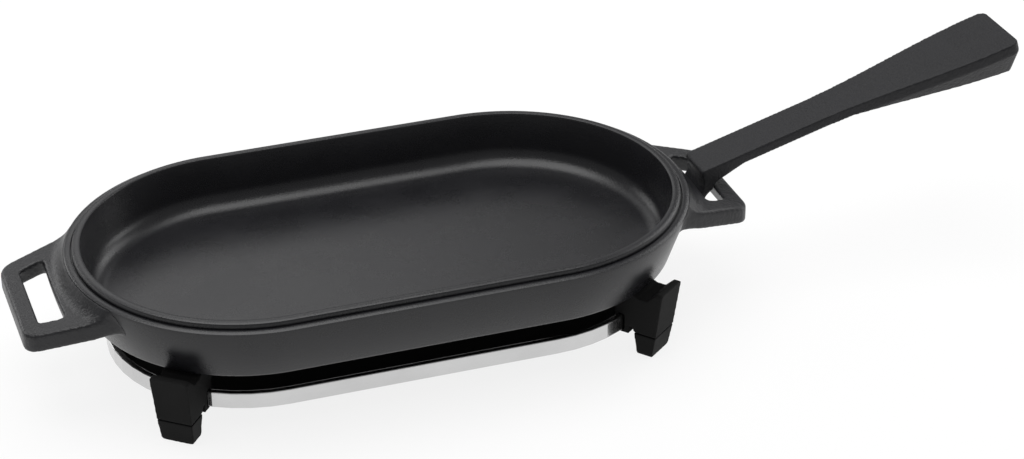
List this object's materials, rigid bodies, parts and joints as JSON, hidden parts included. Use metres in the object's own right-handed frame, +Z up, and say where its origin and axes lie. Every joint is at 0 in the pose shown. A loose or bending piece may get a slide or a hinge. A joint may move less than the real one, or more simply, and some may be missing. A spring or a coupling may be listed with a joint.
{
  "type": "sizzler pan",
  "caption": "Oval cast iron dish with an open loop at each end, a loose handle hooked into a loop, and a trivet of a steel ring round a black plate on moulded feet.",
  "frame": {"origin": "on the table, under the middle of the whole object's length and width", "axes": "+X from the free loop to the handle's grip, +Y across the dish away from the pictured side, +Z up"},
  "size_m": [0.4628, 0.1596, 0.0994],
  "materials": {
    "cast_iron_dish": "matte seasoned",
    "cast_iron_handle": "matte seasoned",
    "polished_steel": "polished",
    "black_coated_steel": "matte black coating",
    "black_moulding": "matte",
    "black_rubber": "matte"
  },
  "bodies": {
    "trivet": {"trivet_ring": "polished_steel", "trivet_plate": "black_coated_steel", "foot_front_left": "black_moulding", "foot_front_right": "black_moulding", "foot_back_left": "black_moulding", "foot_back_right": "black_moulding", "foot_pad_front_left": "black_rubber", "foot_pad_front_right": "black_rubber", "foot_pad_back_left": "black_rubber", "foot_pad_back_right": "black_rubber"},
    "dish": {"dish": "cast_iron_dish"},
    "handle": {"handle": "cast_iron_handle"}
  },
  "joints": [
    {"name": "dish_lift", "type": "slide", "parent": "trivet", "child": "dish", "axis": [0, 0, 1], "range_m": [0, 0.08]},
    {"name": "handle_tilt", "type": "hinge", "parent": "dish", "child": "handle", "pos_m": [0.07786, 0, 0.049], "axis": [0, -1, 0], "range_deg": [0, 45]}
  ]
}
